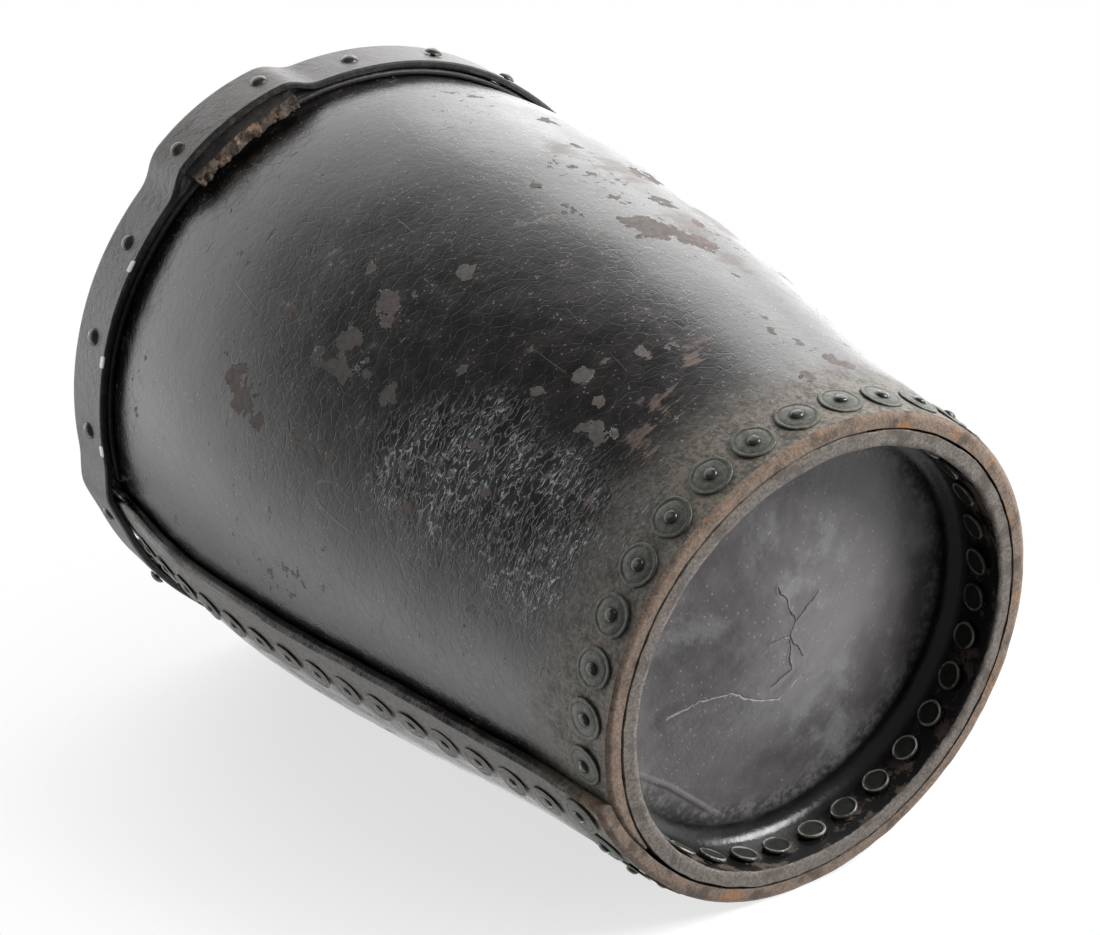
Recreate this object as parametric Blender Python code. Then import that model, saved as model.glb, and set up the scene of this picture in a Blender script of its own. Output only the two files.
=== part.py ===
"""A riveted leather bucket without its carrying strap.

One thick sheet is rolled into a tapered tube and riveted down a lapped seam.
A moulded leather dish is set up inside the foot and riveted through its
turned-down flange.  Two leather strips ring the rim, and the stub of a strap
tab is nailed under them on each side.  All lengths are in metres.
"""
import math

import bmesh
import bpy
from mathutils import Matrix, Vector

# Driving dimensions ---------------------------------------------------------
HEIGHT = 0.300            # foot to rim
FOOT_RADIUS = 0.088       # outside of the wall at the foot
RIM_RADIUS = 0.113        # where the flank would end if it were not held at the rim
SWELL = 0.0108            # how far the side bows out at half height
HIGH_SWELL = 0.044        # lifts the widest part towards the rim
WALL = 0.0053             # leather of the wall
GAP = 0.0003              # clearance between touching pieces

FACET = math.radians(6.0)         # one facet of every round piece
SEAM_EDGE = math.radians(195.0)   # azimuth of the outer end of the sheet
LAP_FACETS = 3                    # the sheet laps over itself this far
BLEND_FACETS = 2                  # and settles back onto the round this far
SKIVED_EDGE = 0.0009              # the under end is pared down to this

DISH_LEATHER = 0.0057
FOLD_HEIGHT = 0.0168      # centre of the fold between flange and panel
FOLD_RADIUS = 0.0065
DOME = 0.008              # the panel bows towards the ground by this much

STRIP_FOOT = 0.277        # lower edge of both rim strips
STRIP_FACET = math.radians(3.0)
LINER_STAND_OFF = 0.0003
LINER = 0.0024            # inner rim strip, which stops either side of the lap
LINER_START = 6           # strip facets from the seam edge to its first end
LINER_FACETS = 113
BAND = 0.0029             # outer rim strip, a full ring
STRIP_GAP = 0.0004
TAB = 0.0050              # thickness of a strap tab
TAB_FOOT = 0.270          # torn lower edge of a strap tab
TAB_HALF_ANGLE = math.radians(11.4)
STEP_START = math.radians(12.0)   # the band is fully out over a tab up to here
STEP_END = math.radians(18.0)     # and back on the round here
TAB_AZIMUTHS = {"front": math.radians(-90.0), "back": math.radians(90.0)}

RIVET_SHANK = 0.0019
RIVET_HEAD = 0.0050
RIVET_ROVE = 0.0070
SEAM_ROVE = 0.0064
HOLE_CLEARANCE = 0.0004
FOOT_RIVETS = 32
FOOT_RIVET_HEIGHT = 0.0105
FOOT_RIVET_START = math.radians(201.5)
SEAM_RIVETS = 15
SEAM_RIVET_FIRST = 0.0306
SEAM_RIVET_PITCH = 0.0166
SEAM_RIVET_AZIMUTH = math.radians(186.0)
ROUND_SIDES = 8           # sides of a rivet

NAIL_SHANK = 0.0011
NAIL_HEAD = 0.0036
NAIL_CLENCH = 0.0028
NAIL_HEIGHT = 0.2885
NAIL_HALF_PITCH = math.radians(9.0)

ALL_ROUND = round(2 * math.pi / FACET)


def wall_radius(height):
    """Outside radius of the rolled wall, away from the lap.

    The wall stands straight where the rim strips hold it round.
    """
    t = min(height, STRIP_FOOT) / HEIGHT
    straight = FOOT_RADIUS + (RIM_RADIUS - FOOT_RADIUS) * t
    bow = 4 * SWELL * t * (1 - t)
    lean = HIGH_SWELL * t * (1 - t) * (2 * t - 1)
    return straight + bow + lean


def wall_slope(height):
    """Angle between the wall and the upright, positive where it flares."""
    step = 0.001
    return math.atan((wall_radius(height + step) - wall_radius(height - step)) / (2 * step))


def under_thickness(facets):
    """Leather left in the pared under end, counted in facets from the seam edge."""
    t = min(max(facets / LAP_FACETS, 0.0), 1.0)
    return WALL + (SKIVED_EDGE - WALL) * t


def wall_lift(facets):
    """How far the wall stands off the round, counted in facets from the seam edge."""
    if facets <= LAP_FACETS:
        return under_thickness(facets) + GAP
    settled = min((facets - LAP_FACETS) / BLEND_FACETS, 1.0)
    return (SKIVED_EDGE + GAP) * (1 - settled)


def facets_from_seam(azimuth):
    """Facets between the seam edge and an azimuth, walking clockwise from above."""
    return ((SEAM_EDGE - azimuth) % (2 * math.pi)) / FACET


def liner_lift(azimuth):
    """The inner strip rides up onto the settling part of the lap."""
    return wall_lift(max(facets_from_seam(azimuth), LAP_FACETS)) if near_lap(azimuth) else 0.0


def near_lap(azimuth):
    return facets_from_seam(azimuth) < LAP_FACETS + BLEND_FACETS


def band_lift(azimuth):
    """The outer strip passes over the lap, and steps out over each strap tab."""
    for tab_azimuth in TAB_AZIMUTHS.values():
        away = abs((azimuth - tab_azimuth + math.pi) % (2 * math.pi) - math.pi)
        if away < STEP_END:
            return (TAB + STRIP_GAP) * min((STEP_END - away) / (STEP_END - STEP_START), 1.0)
    before = facets_from_seam(azimuth)
    over_edge = wall_lift(0.0) - LINER_STAND_OFF - LINER
    if ALL_ROUND - before < 1.0:
        return over_edge * (1.0 - (ALL_ROUND - before))
    if before < LAP_FACETS:
        over_lap = wall_lift(before) - LINER_STAND_OFF - LINER
        return max(over_lap, wall_lift(LAP_FACETS))
    return liner_lift(azimuth)


def at(azimuth, radius, height):
    return Vector((radius * math.cos(azimuth), radius * math.sin(azimuth), height))


def material(name, colour, roughness, metallic=0.0):
    finish = bpy.data.materials.new(name)
    finish.use_nodes = True
    shader = finish.node_tree.nodes["Principled BSDF"]
    shader.inputs["Base Color"].default_value = (*colour, 1.0)
    shader.inputs["Roughness"].default_value = roughness
    shader.inputs["Metallic"].default_value = metallic
    return finish


def finish_piece(name, shape, finish):
    """Turns a bmesh into a named, smooth-shaded object."""
    bmesh.ops.recalc_face_normals(shape, faces=shape.faces)
    mesh = bpy.data.meshes.new(name)
    shape.to_mesh(mesh)
    shape.free()
    mesh.shade_smooth()
    mesh.set_sharp_from_angle(angle=math.radians(35))
    mesh.materials.append(finish)
    piece = bpy.data.objects.new(name, mesh)
    bpy.context.collection.objects.link(piece)
    return piece


# The rolled wall ------------------------------------------------------------
def body_wall(finish):
    """A flat blank with thickness, rolled up so that its ends lap."""
    along = ALL_ROUND + LAP_FACETS
    up = 12
    blank = bmesh.new()
    bmesh.ops.create_grid(blank, x_segments=along, y_segments=up, size=0.5)
    top = bmesh.ops.extrude_face_region(blank, geom=blank.faces[:])["geom"]
    skin = {vert for vert in top if isinstance(vert, bmesh.types.BMVert)}
    for vert in blank.verts:
        facets = round((vert.co.x + 0.5) * along)
        height = (vert.co.y + 0.5) * HEIGHT
        inner = wall_radius(height) - WALL
        thickness = WALL
        if facets < ALL_ROUND:
            inner += wall_lift(facets)
        else:
            thickness = under_thickness(facets - ALL_ROUND)
        radius = inner + (thickness if vert in skin else 0.0)
        vert.co = at(SEAM_EDGE - facets * FACET, radius, height)
    return finish_piece("body_wall", blank, finish)


# The dish in the foot -------------------------------------------------------
def dish_face(fold_radius, fold_centre, clearance):
    """One face of the dish, from its centre out and down to the ground."""
    panel = []
    for step in range(6):
        radius = fold_centre * step / 6
        drop = DOME * 0.5 * (1 + math.cos(math.pi * step / 6))
        panel.append((radius, FOLD_HEIGHT + fold_radius - drop))
    fold = []
    for step in range(4):
        angle = math.radians(90 - 30 * step)
        fold.append((fold_centre + fold_radius * math.cos(angle),
                     FOLD_HEIGHT + fold_radius * math.sin(angle)))
    foot = (wall_radius(0.0) - WALL - GAP - clearance, 0.0)
    return panel + fold + [foot]


def bottom_dish(finish):
    """Panel, fold and flange turned in one piece about the upright axis."""
    outer_fold = FOLD_RADIUS + DISH_LEATHER
    fold_centre = wall_radius(FOLD_HEIGHT) - WALL - GAP - outer_fold
    upper = dish_face(outer_fold, fold_centre, 0.0)
    lower = dish_face(FOLD_RADIUS, fold_centre, DISH_LEATHER)
    line = upper + lower[::-1]
    shape = bmesh.new()
    verts = [shape.verts.new(at(SEAM_EDGE, *point)) for point in line]
    edges = [shape.edges.new(pair) for pair in zip(verts, verts[1:])]
    bmesh.ops.spin(shape, geom=verts + edges, cent=(0, 0, 0), axis=(0, 0, 1),
                   angle=2 * math.pi, steps=ALL_ROUND, use_merge=True)
    bmesh.ops.remove_doubles(shape, verts=shape.verts, dist=1e-6)
    return finish_piece("bottom_dish", shape, finish)


# The rim strips and the strap tabs ------------------------------------------
def rim_strip(name, inner_radius, thickness, lift, first, facets, finish):
    """A strip of leather bent round the rim, with its own local bulges.

    It starts some strip facets before the seam edge and runs on for more of them.
    """
    shape = bmesh.new()
    corners = [(inner_radius, STRIP_FOOT), (inner_radius + thickness, STRIP_FOOT),
               (inner_radius + thickness, HEIGHT), (inner_radius, HEIGHT)]
    start = SEAM_EDGE - first * STRIP_FACET
    verts = [shape.verts.new(at(start, *corner)) for corner in corners]
    full_ring = facets == round(2 * math.pi / STRIP_FACET)
    if full_ring:
        section = verts + [shape.edges.new((verts[i - 1], verts[i])) for i in range(4)]
    else:
        section = [shape.faces.new(verts)]
    bmesh.ops.spin(shape, geom=section, cent=(0, 0, 0), axis=(0, 0, -1),
                   angle=facets * STRIP_FACET, steps=facets, use_merge=full_ring)
    for vert in shape.verts:
        azimuth = math.atan2(vert.co.y, vert.co.x)
        radius = math.hypot(vert.co.x, vert.co.y) + lift(azimuth)
        vert.co = at(azimuth, radius, vert.co.z)
    return finish_piece(name, shape, finish)


LINER_RADIUS = wall_radius(STRIP_FOOT) + LINER_STAND_OFF
BAND_RADIUS = LINER_RADIUS + LINER + STRIP_GAP
TAB_RADIUS = BAND_RADIUS


def strap_tab(name, azimuth, finish):
    """The stub of a thick strap, trapped between the two rim strips."""
    shape = bmesh.new()
    start = azimuth - TAB_HALF_ANGLE
    corners = [(TAB_RADIUS, TAB_FOOT), (TAB_RADIUS + TAB, TAB_FOOT),
               (TAB_RADIUS + TAB, HEIGHT), (TAB_RADIUS, HEIGHT)]
    verts = [shape.verts.new(at(start, *corner)) for corner in corners]
    end = shape.faces.new(verts)
    bmesh.ops.spin(shape, geom=[end], cent=(0, 0, 0), axis=(0, 0, 1),
                   angle=2 * TAB_HALF_ANGLE, steps=8)
    return finish_piece(name, shape, finish)


# Fasteners ------------------------------------------------------------------
def fastener_frame(azimuth, height, seat_radius, slope, sideways=0.0):
    """Seat of a fastener: local +Z points out of the wall."""
    outward = at(azimuth + sideways, math.cos(slope), -math.sin(slope))
    turn = outward.to_track_quat("Z", "X").to_matrix().to_4x4()
    return Matrix.Translation(at(azimuth, seat_radius, height)) @ turn


def fastener(name, place, sizes, finish):
    """A turned fastener: one disc inside, the shank, one disc outside.

    sizes holds the shank radius, the grip, and each disc's radius, thickness
    and crown, inside first.
    """
    shank, grip, inside, outside = sizes
    inner_seat = -grip
    line = [(0.0, inner_seat - inside[1] - inside[2]),
            (inside[0], inner_seat - inside[1]),
            (inside[0], inner_seat),
            (shank, inner_seat),
            (shank, 0.0),
            (outside[0], 0.0),
            (outside[0], outside[1]),
            (0.0, outside[1] + outside[2])]
    shape = bmesh.new()
    verts = [shape.verts.new((radius, 0.0, height)) for radius, height in line]
    edges = [shape.edges.new(pair) for pair in zip(verts, verts[1:])]
    bmesh.ops.spin(shape, geom=verts + edges, cent=(0, 0, 0), axis=(0, 0, 1),
                   angle=2 * math.pi, steps=ROUND_SIDES, use_merge=True)
    bmesh.ops.remove_doubles(shape, verts=shape.verts, dist=1e-6)
    piece = finish_piece(name, shape, finish)
    piece.matrix_world = place
    return piece


def drill(places, radius):
    """Round bores through the leather, joined into one cutter."""
    shape = bmesh.new()
    depth = 0.06
    for place in places:
        bmesh.ops.create_cone(shape, cap_ends=True, segments=ROUND_SIDES, radius1=radius,
                              radius2=radius, depth=depth, matrix=place)
    mesh = bpy.data.meshes.new("drill")
    shape.to_mesh(mesh)
    shape.free()
    cutter = bpy.data.objects.new("drill", mesh)
    cutter.hide_render = True
    cutter.display_type = "WIRE"
    bpy.context.collection.objects.link(cutter)
    return cutter


def cut(piece, cutter):
    bore = piece.modifiers.new("bores", "BOOLEAN")
    bore.operation = "DIFFERENCE"
    bore.object = cutter


def riveting(finish):
    """Foot row and seam row.  Returns the places of each row."""
    foot_places = []
    slope = wall_slope(FOOT_RIVET_HEIGHT)
    for index in range(FOOT_RIVETS):
        azimuth = FOOT_RIVET_START + index * 2 * math.pi / FOOT_RIVETS
        lift, sideways = lap_seat(azimuth)
        seat = wall_radius(FOOT_RIVET_HEIGHT) + lift
        grip = (WALL + DISH_LEATHER + GAP + lift) * math.cos(slope)
        place = fastener_frame(azimuth, FOOT_RIVET_HEIGHT, seat, slope, sideways)
        outside_gap, inside_gap = seat_gaps(sideways)
        place = place @ Matrix.Translation((0, 0, outside_gap))
        sizes = (RIVET_SHANK, grip + outside_gap + inside_gap,
                 (RIVET_HEAD, 0.0010, 0.0006), (RIVET_ROVE, 0.0010, 0.0008))
        fastener(f"foot_rivet_{index + 1:02d}", place, sizes, finish)
        foot_places.append(place)
    seam_places = []
    for index in range(SEAM_RIVETS):
        height = SEAM_RIVET_FIRST + index * SEAM_RIVET_PITCH
        slope = wall_slope(height)
        lift, sideways = lap_seat(SEAM_RIVET_AZIMUTH)
        grip = (WALL + lift) * math.cos(slope)
        seat = wall_radius(height) + lift
        place = fastener_frame(SEAM_RIVET_AZIMUTH, height, seat, slope, sideways)
        outside_gap, inside_gap = seat_gaps(sideways)
        place = place @ Matrix.Translation((0, 0, outside_gap))
        sizes = (RIVET_SHANK, grip + outside_gap + inside_gap,
                 (RIVET_HEAD, 0.0010, 0.0006), (SEAM_ROVE, 0.0010, 0.0008))
        fastener(f"seam_rivet_{index + 1:02d}", place, sizes, finish)
        seam_places.append(place)
    return foot_places, seam_places


def lap_seat(azimuth):
    """Lift of the leather at a rivet, and half its sideways tilt there."""
    facets = facets_from_seam(azimuth)
    if facets > LAP_FACETS + BLEND_FACETS:
        return 0.0, 0.0
    near = max(facets - 0.5, 0.0)
    fall = (wall_lift(near) - wall_lift(near + 1.0)) / (FACET * wall_radius(HEIGHT / 2))
    return wall_lift(facets), -0.5 * math.atan(fall)


def seat_gaps(sideways):
    """Clearance under the outer and the inner disc, more where the lap tilts."""
    tilt = abs(math.sin(sideways))
    return GAP + RIVET_ROVE * tilt * 1.3, 2 * GAP + RIVET_HEAD * tilt * 1.3


def tab_nails(finish):
    """Two nails through each tab, clenched inside the wall."""
    places = {}
    for side, tab_azimuth in TAB_AZIMUTHS.items():
        places[side] = []
        for number, offset in enumerate((-NAIL_HALF_PITCH, NAIL_HALF_PITCH), 1):
            azimuth = tab_azimuth + offset
            seat = TAB_RADIUS + TAB + STRIP_GAP + BAND + GAP
            inside = wall_radius(NAIL_HEIGHT) - WALL - 2 * GAP
            place = fastener_frame(azimuth, NAIL_HEIGHT, seat, 0.0)
            sizes = (NAIL_SHANK, seat - inside,
                     (NAIL_CLENCH, 0.0007, 0.0004), (NAIL_HEAD, 0.0004, 0.0012))
            fastener(f"tab_nail_{side}_{number}", place, sizes, finish)
            places[side].append(place)
    return places


def build():
    for old in list(bpy.data.objects):
        bpy.data.objects.remove(old)
    japanned = material("japanned_leather", (0.022, 0.020, 0.021), 0.32)
    bottom = material("bottom_leather", (0.035, 0.034, 0.036), 0.42)
    strip = material("strip_leather", (0.075, 0.070, 0.070), 0.50)
    raw = material("raw_leather", (0.075, 0.050, 0.035), 0.85)
    iron = material("blackened_iron", (0.060, 0.062, 0.058), 0.50, 0.6)

    wall = body_wall(japanned)
    dish = bottom_dish(bottom)
    liner = rim_strip("rim_liner", LINER_RADIUS, LINER, liner_lift,
                      LINER_START, LINER_FACETS, strip)
    band = rim_strip("rim_band", BAND_RADIUS, BAND, band_lift,
                     0, round(2 * math.pi / STRIP_FACET), strip)
    tabs = {side: strap_tab(f"strap_tab_{side}", azimuth, raw)
            for side, azimuth in TAB_AZIMUTHS.items()}

    foot_places, seam_places = riveting(iron)
    nail_places = tab_nails(iron)
    all_nails = nail_places["front"] + nail_places["back"]
    rivet_bore = RIVET_SHANK + HOLE_CLEARANCE
    nail_bore = NAIL_SHANK + HOLE_CLEARANCE
    cut(wall, drill(foot_places + seam_places, rivet_bore))
    cut(dish, drill(foot_places, rivet_bore))
    for piece in (wall, liner, band):
        cut(piece, drill(all_nails, nail_bore))
    for side, tab in tabs.items():
        cut(tab, drill(nail_places[side], nail_bore))


build()
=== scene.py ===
# %% [markdown]
# # A riveted leather bucket
# The object is an old fire bucket: thick black japanned leather, riveted down a lapped seam, with a
# dished bottom and two strips of leather round the rim. Its engineering solids are already packed, so
# this script only gives them their surfaces. Everything is in metres, +Z up, foot on z = 0.

# %% Load the solids
import math
import random

import bmesh
import bpy
from mathutils import Matrix, Vector, noise


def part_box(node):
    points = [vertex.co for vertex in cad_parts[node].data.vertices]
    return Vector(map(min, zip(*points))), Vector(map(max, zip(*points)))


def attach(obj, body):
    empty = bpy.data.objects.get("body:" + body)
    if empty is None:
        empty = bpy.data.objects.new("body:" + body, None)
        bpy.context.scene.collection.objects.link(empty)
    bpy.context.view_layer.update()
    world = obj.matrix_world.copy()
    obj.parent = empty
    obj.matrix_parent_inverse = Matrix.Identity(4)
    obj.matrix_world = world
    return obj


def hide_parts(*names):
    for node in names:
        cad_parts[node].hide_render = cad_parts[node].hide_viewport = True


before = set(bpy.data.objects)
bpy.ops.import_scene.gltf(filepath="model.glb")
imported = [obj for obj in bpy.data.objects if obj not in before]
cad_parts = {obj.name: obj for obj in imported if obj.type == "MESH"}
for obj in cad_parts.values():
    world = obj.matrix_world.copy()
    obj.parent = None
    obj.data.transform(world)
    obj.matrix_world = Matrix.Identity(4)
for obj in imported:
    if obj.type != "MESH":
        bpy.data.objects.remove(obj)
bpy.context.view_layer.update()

MM = 0.001
HEIGHT = 300 * MM

# %% [markdown]
# ## Camera
# The bucket lies on its side, foot towards the viewer. The solids stand upright, so the camera does the
# lying down instead: it looks up at the foot from below and is rolled until the ground is level.
# A long lens keeps the foot from looming.

# %% Camera
VIEW_AZIMUTH = math.radians(-19.03)
VIEW_ELEVATION = math.radians(-46.14)
VIEW_ROLL = math.radians(-55.74)
VIEW_DISTANCE = 0.915
SENSOR_WIDTH = 36.0
LENS = 81.2
AIM = Vector((0.0022, -0.0008, 0.1586))

toward_viewer = Vector((math.sin(VIEW_AZIMUTH) * math.cos(VIEW_ELEVATION),
                        -math.cos(VIEW_AZIMUTH) * math.cos(VIEW_ELEVATION),
                        math.sin(VIEW_ELEVATION)))


def looking_along(direction):
    return direction.to_track_quat("-Z", "Y").to_matrix().to_4x4()


camera = bpy.data.objects.new("camera", bpy.data.cameras.new("camera"))
camera.data.sensor_width = SENSOR_WIDTH
camera.data.lens = LENS
camera.matrix_world = (Matrix.Translation(AIM + toward_viewer * VIEW_DISTANCE)
                       @ looking_along(-toward_viewer) @ Matrix.Rotation(VIEW_ROLL, 4, "Z"))
bpy.context.collection.objects.link(camera)
bpy.context.scene.camera = camera
bpy.context.scene.view_settings.view_transform = "Standard"
print("camera at", [round(c, 3) for c in camera.matrix_world.translation])

# %% [markdown]
# ## Shader arithmetic
# Node trees for worn leather are long sums of masks. A small class wraps an output socket and turns
# `+`, `-` and `*` into Math nodes, so a mask reads like a formula. Every other node comes from one
# method that takes the node's type, its settings and what goes into its sockets.

# %% Wires
class Wire:
    """One output socket that can be added, subtracted and multiplied."""

    def __init__(self, nodes, socket):
        self.nodes, self.socket = nodes, socket

    def maths(self, operation, *values):
        return self.nodes.node("ShaderNodeMath", {"operation": operation}, dict(enumerate(values)))

    def __add__(self, other):
        return self.maths("ADD", self, other)

    def __sub__(self, other):
        return self.maths("SUBTRACT", self, other)

    def __rsub__(self, other):
        return self.maths("SUBTRACT", other, self)

    def __mul__(self, other):
        return self.maths("MULTIPLY", self, other)

    def most(self, other):
        return self.maths("MAXIMUM", self, other)

    def least(self, other):
        return self.maths("MINIMUM", self, other)

    def size(self):
        return self.maths("ABSOLUTE", self)

    def ease(self, start, end, low=0.0, high=1.0):
        """low at start and high at end, with a soft shoulder at both."""
        values = {"Value": self, "From Min": start, "From Max": end, "To Min": low, "To Max": high}
        return self.nodes.node("ShaderNodeMapRange", {"interpolation_type": "SMOOTHSTEP"}, values)

    __radd__ = __add__
    __rmul__ = __mul__


class Nodes:
    """A node tree, emptied, with one method that adds any node."""

    def __init__(self, owner):
        owner.use_nodes = True
        self.owner = owner
        self.tree = owner.node_tree
        self.tree.nodes.clear()

    def node(self, kind, settings=None, values=None, output=0):
        made = self.tree.nodes.new(kind)
        for name, value in (settings or {}).items():
            setattr(made, name, value)
        for key, value in (values or {}).items():
            if isinstance(value, Wire):
                self.tree.links.new(value.socket, made.inputs[key])
            else:
                made.inputs[key].default_value = value
        if len(made.outputs):
            return Wire(self, made.outputs[output])

    def vectors(self, operation, *values, output="Vector"):
        return self.node("ShaderNodeVectorMath", {"operation": operation}, dict(enumerate(values)), output)


print("arithmetic on sockets is ready")

# %% [markdown]
# ## Finishes
# A finish is a material. The patterns that old leather needs are few: cloudy noise, thin wandering
# threads, crackle cells and specks of dust. They read Object coordinates, or the flat blank where they
# follow the hide. A mark with its own place is an attribute on the mesh.

# %% Finish
def grey(value, warmth=0.0):
    """A grey, a little redder and less blue when warmth is above zero."""
    return (value * (1 + warmth), value, value * (1 - warmth), 1.0)


class Finish(Nodes):
    """A material built from nodes."""

    def __init__(self, name):
        super().__init__(bpy.data.materials.new(name))
        self.place = self.node("ShaderNodeTexCoord", output="Object")

    def attribute(self, name):
        return self.node("ShaderNodeAttribute", {"attribute_name": name}, output="Fac")

    def blank(self):
        """Metres along and up the flat sheet, before it was rolled."""
        return self.node("ShaderNodeUVMap", {"uv_map": "blank"})

    def stretched(self, where, scale):
        return self.node("ShaderNodeMapping", values={"Vector": where, "Scale": scale})

    def cloud(self, scale, detail=3.0, roughness=0.55, where=None, distortion=0.0):
        values = {"Vector": where or self.place, "Scale": scale, "Detail": detail,
                  "Roughness": roughness, "Distortion": distortion}
        return self.node("ShaderNodeTexNoise", values=values)

    def threads(self, scale, width, where=None, detail=2.0, distortion=0.4):
        """Thin wandering lines, where a noise passes through its middle value."""
        middle = (self.cloud(scale, detail, 0.5, where, distortion) - 0.5).size()
        return 1 - middle.ease(0.0, width)

    def crackle(self, scale, width):
        values = {"Vector": self.place, "Scale": scale}
        cells = self.node("ShaderNodeTexVoronoi", {"feature": "DISTANCE_TO_EDGE"}, values)
        return 1 - cells.ease(0.0, width)

    def specks(self, scale, size):
        """Round dots, one in each cell of space."""
        values = {"Vector": self.place, "Scale": scale}
        return 1 - self.node("ShaderNodeTexVoronoi", values=values).ease(size * 0.6, size)

    def mix(self, amount, first, second):
        return self.node("ShaderNodeMix", {"data_type": "RGBA"}, {0: amount, 6: first, 7: second}, output=2)

    def coats(self, colour, *coats):
        """Lays coats over a colour. Each is how much of it there is, and its own colour."""
        for amount, coat in coats:
            colour = self.mix(amount, colour, coat)
        return colour

    def surface(self, colour, roughness, relief, metallic=0.0):
        """relief is in millimetres."""
        normal = self.node("ShaderNodeBump", values={"Strength": 1.0, "Distance": MM, "Height": relief})
        values = {"Base Color": colour, "Roughness": roughness, "Normal": normal, "Metallic": metallic}
        self.show(self.node("ShaderNodeBsdfPrincipled", values=values, output="BSDF"))
        return self.owner

    def show(self, shader):
        self.node("ShaderNodeOutputMaterial", values={"Surface": shader})


print("finishes can be mixed")

# %% [markdown]
# ## Ground and light
# The ground touches the bucket's side along the line from the foot to the rim band, so for the
# upright frame it is a leaning sheet. Only the shadow on it matters, so it fades out at its edges, it
# shows only from its upper side, and it takes no part in lighting the leather. A second, level sheet
# under the foot does the same for anyone looking from above.

# %% Ground
CONTACT_AZIMUTH = math.radians(122.2)
FOOT_RADIUS = 88 * MM
BAND_REACH = 122.9 * MM
STRIP_FOOT = 277 * MM
SHEET_REACH = 0.31
SHADOW_REACH = 0.09
GLOW = 0.68
SHEET_GAP = 0.2 * MM


def round_at(azimuth, radius, height):
    return Vector((radius * math.cos(azimuth), radius * math.sin(azimuth), height))


lean = math.atan((BAND_REACH - FOOT_RADIUS) / STRIP_FOOT)
ground_up = -round_at(CONTACT_AZIMUTH, math.cos(lean), -math.sin(lean))
contact = round_at(CONTACT_AZIMUTH, (BAND_REACH + FOOT_RADIUS) / 2, STRIP_FOOT / 2)


def paper(name):
    finish = Finish(name)
    away = finish.vectors("LENGTH", finish.place, output="Value")
    behind = finish.node("ShaderNodeNewGeometry", output="Backfacing")
    hidden = away.ease(SHADOW_REACH, SHEET_REACH * 0.97).most(behind)
    shaded = finish.node("ShaderNodeBsdfDiffuse", values={"Color": grey(0.95)})
    glow = finish.node("ShaderNodeEmission", values={"Color": grey(1.0)})
    white = finish.node("ShaderNodeMixShader", values={0: GLOW, 1: shaded, 2: glow})
    clear = finish.node("ShaderNodeBsdfTransparent")
    finish.show(finish.node("ShaderNodeMixShader", values={0: hidden, 1: white, 2: clear}))
    return finish.owner


def ground_sheet(name, centre, up):
    shape = bmesh.new()
    bmesh.ops.create_circle(shape, cap_ends=True, segments=96, radius=SHEET_REACH)
    mesh = bpy.data.meshes.new(name)
    shape.to_mesh(mesh)
    shape.free()
    mesh.materials.append(paper(name))
    sheet = bpy.data.objects.new(name, mesh)
    sheet.matrix_world = Matrix.Translation(centre) @ up.to_track_quat("Z", "Y").to_matrix().to_4x4()
    bpy.context.collection.objects.link(sheet)
    for ray in ("shadow", "diffuse", "glossy", "transmission"):
        setattr(sheet, "visible_" + ray, False)


ground_sheet("ground_lying", contact - ground_up * SHEET_GAP, ground_up)
ground_sheet("ground_standing", Vector((0, 0, -2 * SHEET_GAP)), Vector((0, 0, 1)))
print("ground leans", round(math.degrees(lean), 2), "degrees from the wall's axis")

# %% [markdown]
# Black japanned leather has almost no colour of its own: what is seen is the room. The room here is a
# white tent that is brightest behind the bucket and low on both sides, dim overhead and where the viewer
# stands, and dark where the bucket shades the ground. That puts a sheen along the flank and beside the
# rim, lights the panel and leaves the middle black. The tent's cloth itself is seen as plain white.

# %% Room
ground_right = ground_up.cross(toward_viewer).normalized()
ground_back = ground_up.cross(ground_right).normalized()


def toward(right, above, behind):
    return right * ground_right + above * ground_up + behind * ground_back


bpy.context.scene.world = bpy.data.worlds.new("tent")
tent = Nodes(bpy.context.scene.world)
heading = tent.node("ShaderNodeTexCoord", output="Generated")


def facing(direction, start, end, low, high):
    return tent.vectors("DOT_PRODUCT", heading, direction, output="Value").ease(start, end, low, high)


behind_left = toward(-0.27, -0.35, 1.0)
low_right = toward(0.78, -0.50, 0.37)
under_bucket = toward(-0.45, -0.65, 0.6).normalized()
lit = facing(behind_left, -0.02, 0.50, 0.21, 2.35) + facing(low_right, 0.6, 0.97, 0.0, 1.7)
lit = lit * facing(under_bucket, 0.80, 0.97, 1.0, 0.3)
seen = tent.node("ShaderNodeLightPath", output="Is Camera Ray")
cloth = tent.node("ShaderNodeBackground", values={"Color": grey(1.0), "Strength": seen + (1 - seen) * lit})
tent.node("ShaderNodeOutputWorld", values={"Surface": cloth})
print("up is", [round(c, 2) for c in ground_up], "right is", [round(c, 2) for c in ground_right])

# %% Lamps
def softbox(name, place, size, watts):
    light = bpy.data.lights.new(name, "AREA")
    light.size = size
    light.energy = watts
    lamp = bpy.data.objects.new(name, light)
    spot = AIM + place
    lamp.matrix_world = Matrix.Translation(spot) @ looking_along(AIM - spot)
    bpy.context.collection.objects.link(lamp)


softbox("behind", toward(0.25, 0.75, 0.95), 0.7, 2.5)
softbox("high_right", toward(0.95, 0.72, -0.15), 0.62, 24.0)

# %% [markdown]
# ## The shape of the wall
# The wall is one blank rolled into a tube. Away from the lap its radius depends on height alone: a
# straight taper, a bow outwards, and a lean that lifts the widest part towards the rim. At the seam
# the outer end rides over the pared under end. These are the same few numbers that the solids use,
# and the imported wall's own box is printed beside them as a check.

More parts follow.
